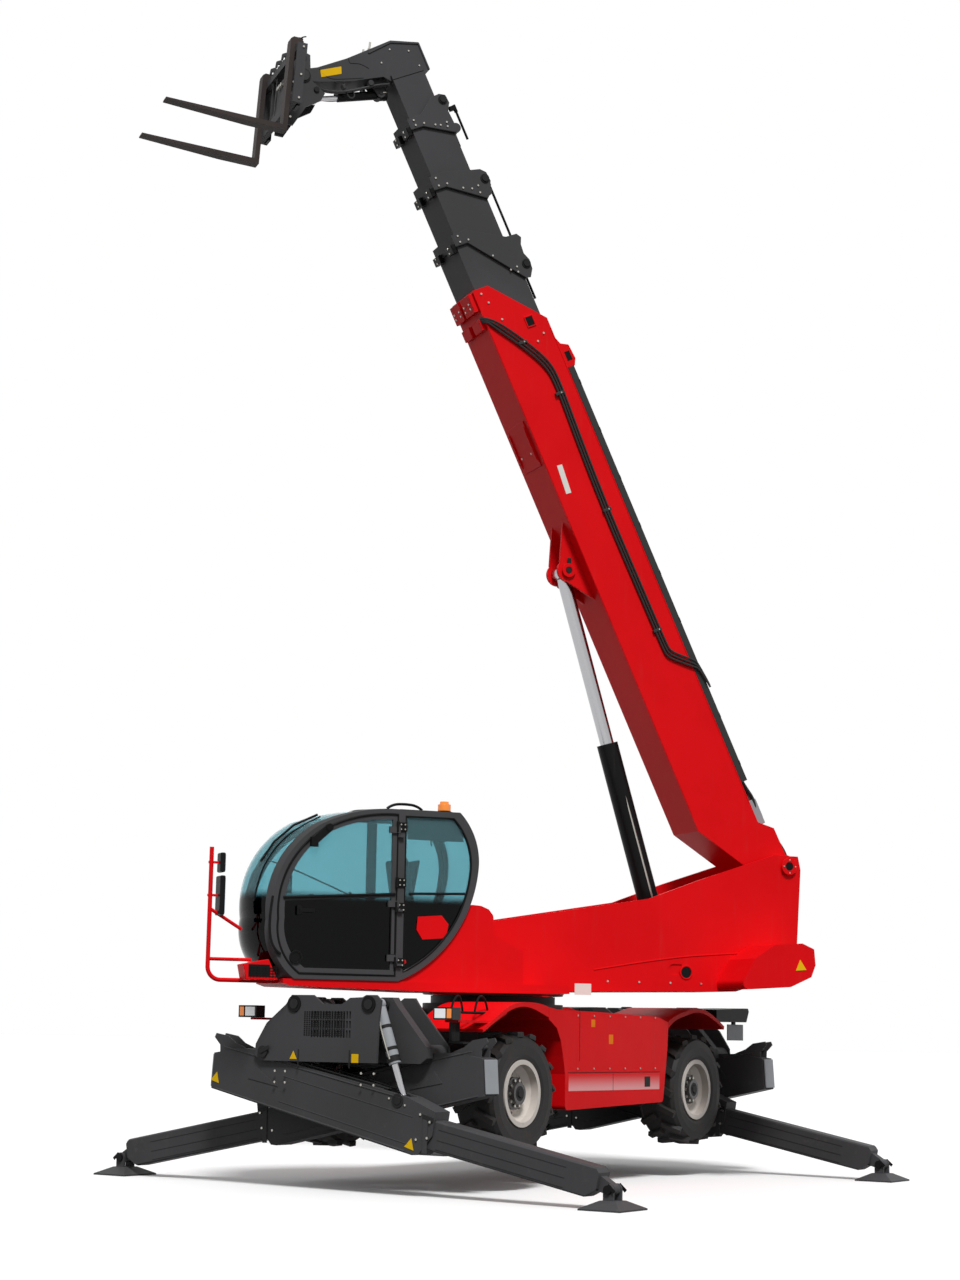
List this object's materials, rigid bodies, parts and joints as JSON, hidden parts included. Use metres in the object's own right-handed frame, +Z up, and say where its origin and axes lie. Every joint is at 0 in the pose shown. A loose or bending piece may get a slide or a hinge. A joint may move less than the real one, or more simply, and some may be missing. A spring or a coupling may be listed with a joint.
{
  "type": "telehandler",
  "caption": "Rotating telescopic handler with a raised boom, pallet forks, a side cab and swing-out stabiliser legs on big tyres.",
  "frame": {"origin": "slew axis at ground level, under the turret", "axes": "+X towards the front of the chassis, +Y to its left, +Z up"},
  "size_m": [6.9814, 6.12, 11.6608],
  "materials": {
    "body_paint": "smooth",
    "frame_steel": "satin",
    "axle_steel": "rough",
    "rim_paint": "satin",
    "tyre": "matte",
    "rod_chrome": "polished",
    "cylinder_steel": "satin",
    "glass": "clear",
    "plastic": "matte",
    "seat_cover": "matte",
    "lamp": "gloss",
    "beacon_lens": "gloss",
    "guard_paint": "smooth"
  },
  "bodies": {
    "chassis": {"chassis_frame": "frame_steel", "side_bodies": "body_paint", "engine_block": "axle_steel", "fenders": "body_paint", "headlamps": "lamp", "axles": "axle_steel", "slew_ring": "axle_steel"},
    "turret": {"turret_frame": "body_paint", "counterweight": "body_paint", "cab_frame": "frame_steel", "cab_glass": "glass", "seat": "seat_cover", "console": "plastic", "mirror_guard": "guard_paint", "beacon": "beacon_lens"},
    "door": {"door": "frame_steel", "door_glass": "glass"},
    "boom_base": {"boom_1": "body_paint"},
    "boom_second": {"boom_2": "frame_steel"},
    "boom_third": {"boom_3": "frame_steel"},
    "boom_fourth": {"boom_4": "frame_steel"},
    "boom_head": {"boom_5": "frame_steel"},
    "coupler": {"carriage": "frame_steel", "forks": "frame_steel"},
    "lift_cylinder": {"lift_barrel": "cylinder_steel"},
    "lift_ram": {"lift_rod": "rod_chrome"},
    "tilt_cylinder": {"tilt_barrel": "cylinder_steel"},
    "tilt_ram": {"tilt_rod": "rod_chrome"},
    "knuckle_front_left": {"knuckle_front_left": "axle_steel"},
    "wheel_front_left": {"rim_front_left": "rim_paint", "tyre_front_left": "tyre"},
    "knuckle_front_right": {"knuckle_front_right": "axle_steel"},
    "wheel_front_right": {"rim_front_right": "rim_paint", "tyre_front_right": "tyre"},
    "knuckle_rear_left": {"knuckle_rear_left": "axle_steel"},
    "wheel_rear_left": {"rim_rear_left": "rim_paint", "tyre_rear_left": "tyre"},
    "knuckle_rear_right": {"knuckle_rear_right": "axle_steel"},
    "wheel_rear_right": {"rim_rear_right": "rim_paint", "tyre_rear_right": "tyre"},
    "leg_front_left": {"leg_housing_front_left": "frame_steel"},
    "leg_beam_front_left": {"leg_beam_front_left": "frame_steel"},
    "foot_front_left": {"leg_foot_front_left": "frame_steel"},
    "leg_cylinder_front_left": {"leg_barrel_front_left": "cylinder_steel"},
    "leg_ram_front_left": {"leg_rod_front_left": "rod_chrome"},
    "leg_front_right": {"leg_housing_front_right": "frame_steel"},
    "leg_beam_front_right": {"leg_beam_front_right": "frame_steel"},
    "foot_front_right": {"leg_foot_front_right": "frame_steel"},
    "leg_cylinder_front_right": {"leg_barrel_front_right": "cylinder_steel"},
    "leg_ram_front_right": {"leg_rod_front_right": "rod_chrome"},
    "leg_rear_left": {"leg_housing_rear_left": "frame_steel"},
    "leg_beam_rear_left": {"leg_beam_rear_left": "frame_steel"},
    "foot_rear_left": {"leg_foot_rear_left": "frame_steel"},
    "leg_cylinder_rear_left": {"leg_barrel_rear_left": "cylinder_steel"},
    "leg_ram_rear_left": {"leg_rod_rear_left": "rod_chrome"},
    "leg_rear_right": {"leg_housing_rear_right": "frame_steel"},
    "leg_beam_rear_right": {"leg_beam_rear_right": "frame_steel"},
    "foot_rear_right": {"leg_foot_rear_right": "frame_steel"},
    "leg_cylinder_rear_right": {"leg_barrel_rear_right": "cylinder_steel"},
    "leg_ram_rear_right": {"leg_rod_rear_right": "rod_chrome"}
  },
  "joints": [
    {"name": "steer_front_left", "type": "hinge", "parent": "chassis", "child": "knuckle_front_left", "pos_m": [1.27, 0.78, 0.88], "axis": [0, 0, 1], "range_deg": [-30, 30]},
    {"name": "wheel_spin_front_left", "type": "hinge", "parent": "knuckle_front_left", "child": "wheel_front_left", "pos_m": [1.27, 0.985, 0.88], "axis": [0, 1, 0], "continuous": true},
    {"name": "steer_front_right", "type": "hinge", "parent": "chassis", "child": "knuckle_front_right", "pos_m": [1.27, -0.78, 0.88], "axis": [0, 0, 1], "range_deg": [-30, 30]},
    {"name": "wheel_spin_front_right", "type": "hinge", "parent": "knuckle_front_right", "child": "wheel_front_right", "pos_m": [1.27, -0.985, 0.88], "axis": [0, 1, 0], "continuous": true},
    {"name": "steer_rear_left", "type": "hinge", "parent": "chassis", "child": "knuckle_rear_left", "pos_m": [-2.07, 0.78, 0.88], "axis": [0, 0, 1], "range_deg": [-30, 30]},
    {"name": "wheel_spin_rear_left", "type": "hinge", "parent": "knuckle_rear_left", "child": "wheel_rear_left", "pos_m": [-2.07, 0.985, 0.88], "axis": [0, 1, 0], "continuous": true},
    {"name": "steer_rear_right", "type": "hinge", "parent": "chassis", "child": "knuckle_rear_right", "pos_m": [-2.07, -0.78, 0.88], "axis": [0, 0, 1], "range_deg": [-30, 30]},
    {"name": "wheel_spin_rear_right", "type": "hinge", "parent": "knuckle_rear_right", "child": "wheel_rear_right", "pos_m": [-2.07, -0.985, 0.88], "axis": [0, 1, 0], "continuous": true},
    {"name": "leg_swing_front_left", "type": "hinge", "parent": "chassis", "child": "leg_front_left", "pos_m": [2.49, -0.77, 1.22], "axis": [-1, 0, 0], "range_deg": [-12, 1.5]},
    {"name": "leg_extend_front_left", "type": "slide", "parent": "leg_front_left", "child": "leg_beam_front_left", "axis": [0, 0.9813, -0.1925], "range_m": [-1.45, 0.25]},
    {"name": "foot_tilt_front_left", "type": "hinge", "parent": "leg_beam_front_left", "child": "foot_front_left", "pos_m": [2.49, 2.85999, 0.166], "axis": [1, 0, 0], "range_deg": [-20, 20]},
    {"name": "leg_cylinder_swing_front_left", "type": "hinge", "parent": "chassis", "child": "leg_cylinder_front_left", "pos_m": [2.49, 0.42, 1.66], "axis": [-1, 0, 0], "range_deg": [-14.6, 2]},
    {"name": "leg_ram_slide_front_left", "type": "slide", "parent": "leg_cylinder_front_left", "child": "leg_ram_front_left", "axis": [0, 0.3501, -0.9367], "range_m": [-0.27, 0.04]},
    {"name": "leg_swing_front_right", "type": "hinge", "parent": "chassis", "child": "leg_front_right", "pos_m": [2.14, 0.77, 1.22], "axis": [1, 0, 0], "range_deg": [-12, 1.5]},
    {"name": "leg_extend_front_right", "type": "slide", "parent": "leg_front_right", "child": "leg_beam_front_right", "axis": [0, -0.9813, -0.1925], "range_m": [-1.45, 0.25]},
    {"name": "foot_tilt_front_right", "type": "hinge", "parent": "leg_beam_front_right", "child": "foot_front_right", "pos_m": [2.14, -2.85999, 0.166], "axis": [1, 0, 0], "range_deg": [-20, 20]},
    {"name": "leg_cylinder_swing_front_right", "type": "hinge", "parent": "chassis", "child": "leg_cylinder_front_right", "pos_m": [2.14, -0.42, 1.66], "axis": [1, 0, 0], "range_deg": [-14.6, 2]},
    {"name": "leg_ram_slide_front_right", "type": "slide", "parent": "leg_cylinder_front_right", "child": "leg_ram_front_right", "axis": [0, -0.3501, -0.9367], "range_m": [-0.27, 0.04]},
    {"name": "leg_swing_rear_left", "type": "hinge", "parent": "chassis", "child": "leg_rear_left", "pos_m": [-2.94, -0.77, 1.22], "axis": [-1, 0, 0], "range_deg": [-12, 1.5]},
    {"name": "leg_extend_rear_left", "type": "slide", "parent": "leg_rear_left", "child": "leg_beam_rear_left", "axis": [0, 0.9813, -0.1925], "range_m": [-1.45, 0.25]},
    {"name": "foot_tilt_rear_left", "type": "hinge", "parent": "leg_beam_rear_left", "child": "foot_rear_left", "pos_m": [-2.94, 2.85999, 0.166], "axis": [1, 0, 0], "range_deg": [-20, 20]},
    {"name": "leg_cylinder_swing_rear_left", "type": "hinge", "parent": "chassis", "child": "leg_cylinder_rear_left", "pos_m": [-2.94, 0.42, 1.66], "axis": [-1, 0, 0], "range_deg": [-14.6, 2]},
    {"name": "leg_ram_slide_rear_left", "type": "slide", "parent": "leg_cylinder_rear_left", "child": "leg_ram_rear_left", "axis": [0, 0.3501, -0.9367], "range_m": [-0.27, 0.04]},
    {"name": "leg_swing_rear_right", "type": "hinge", "parent": "chassis", "child": "leg_rear_right", "pos_m": [-3.29, 0.77, 1.22], "axis": [1, 0, 0], "range_deg": [-12, 1.5]},
    {"name": "leg_extend_rear_right", "type": "slide", "parent": "leg_rear_right", "child": "leg_beam_rear_right", "axis": [0, -0.9813, -0.1925], "range_m": [-1.45, 0.25]},
    {"name": "foot_tilt_rear_right", "type": "hinge", "parent": "leg_beam_rear_right", "child": "foot_rear_right", "pos_m": [-3.29, -2.85999, 0.166], "axis": [1, 0, 0], "range_deg": [-20, 20]},
    {"name": "leg_cylinder_swing_rear_right", "type": "hinge", "parent": "chassis", "child": "leg_cylinder_rear_right", "pos_m": [-3.29, -0.42, 1.66], "axis": [1, 0, 0], "range_deg": [-14.6, 2]},
    {"name": "leg_ram_slide_rear_right", "type": "slide", "parent": "leg_cylinder_rear_right", "child": "leg_ram_rear_right", "axis": [0, -0.3501, -0.9367], "range_m": [-0.27, 0.04]},
    {"name": "slew", "type": "hinge", "parent": "chassis", "child": "turret", "pos_m": [0, 0, 1.78], "axis": [0, 0, 1], "continuous": true},
    {"name": "door_swing", "type": "hinge", "parent": "turret", "child": "door", "pos_m": [1.9053, 0.18162, 2.6], "axis": [0, 0, 1], "range_deg": [0, 80]},
    {"name": "boom_lift", "type": "hinge", "parent": "turret", "child": "boom_base", "pos_m": [-2.5866, 1.74468, 3.18], "axis": [-0.5592, -0.829, 0], "range_deg": [-64.3, 4]},
    {"name": "lift_cylinder_swing", "type": "hinge", "parent": "turret", "child": "lift_cylinder", "pos_m": [-1.60004, 1.07924, 2.12], "axis": [-0.5592, -0.829, 0], "range_deg": [-69.5, 4.6]},
    {"name": "lift_ram_slide", "type": "slide", "parent": "lift_cylinder", "child": "lift_ram", "axis": [0.2398, -0.1617, 0.9573], "range_m": [-1.7, 0.12]},
    {"name": "telescope_second", "type": "slide", "parent": "boom_base", "child": "boom_second", "axis": [0.3595, -0.2425, 0.9011], "range_m": [-0.4, 4.7]},
    {"name": "telescope_third", "type": "slide", "parent": "boom_second", "child": "boom_third", "axis": [0.3595, -0.2425, 0.9011], "range_m": [-0.4, 4.7]},
    {"name": "telescope_fourth", "type": "slide", "parent": "boom_third", "child": "boom_fourth", "axis": [0.3595, -0.2425, 0.9011], "range_m": [-0.4, 4.7]},
    {"name": "telescope_head", "type": "slide", "parent": "boom_fourth", "child": "boom_head", "axis": [0.3595, -0.2425, 0.9011], "range_m": [-0.4, 4.7]},
    {"name": "coupler_tilt", "type": "hinge", "parent": "boom_head", "child": "coupler", "pos_m": [1.9314, -1.30275, 11.04469], "axis": [0.5592, 0.829, 0], "range_deg": [-72, 38]},
    {"name": "tilt_cylinder_swing", "type": "hinge", "parent": "boom_head", "child": "tilt_cylinder", "pos_m": [1.20076, -0.80992, 11.05822], "axis": [0.5592, 0.829, 0], "range_deg": [-2.8, 4.8]},
    {"name": "tilt_ram_slide", "type": "slide", "parent": "tilt_cylinder", "child": "tilt_ram", "axis": [0.8051, -0.543, -0.2386], "range_m": [-0.146, 0.273]}
  ],
  "couplings": [
    {"joint": "steer_front_right", "follows": "steer_front_left", "ratio": 1},
    {"joint": "steer_rear_right", "follows": "steer_rear_left", "ratio": 1},
    {"joint": "leg_cylinder_swing_front_left", "follows": "leg_swing_front_left", "ratio": 1.2},
    {"joint": "leg_ram_slide_front_left", "follows": "leg_swing_front_left", "m_per_rad": 1.259},
    {"joint": "leg_cylinder_swing_front_right", "follows": "leg_swing_front_right", "ratio": 1.2},
    {"joint": "leg_ram_slide_front_right", "follows": "leg_swing_front_right", "m_per_rad": 1.259},
    {"joint": "leg_cylinder_swing_rear_left", "follows": "leg_swing_rear_left", "ratio": 1.2},
    {"joint": "leg_ram_slide_rear_left", "follows": "leg_swing_rear_left", "m_per_rad": 1.259},
    {"joint": "leg_cylinder_swing_rear_right", "follows": "leg_swing_rear_right", "ratio": 1.2},
    {"joint": "leg_ram_slide_rear_right", "follows": "leg_swing_rear_right", "m_per_rad": 1.259},
    {"joint": "lift_cylinder_swing", "follows": "boom_lift", "ratio": 1.0752},
    {"joint": "lift_ram_slide", "follows": "boom_lift", "m_per_rad": 1.4911},
    {"joint": "telescope_third", "follows": "telescope_second", "ratio": 1},
    {"joint": "telescope_fourth", "follows": "telescope_second", "ratio": 1},
    {"joint": "telescope_head", "follows": "telescope_second", "ratio": 1},
    {"joint": "tilt_cylinder_swing", "follows": "coupler_tilt", "ratio": -0.0601},
    {"joint": "tilt_ram_slide", "follows": "coupler_tilt", "m_per_rad": -0.213}
  ]
}
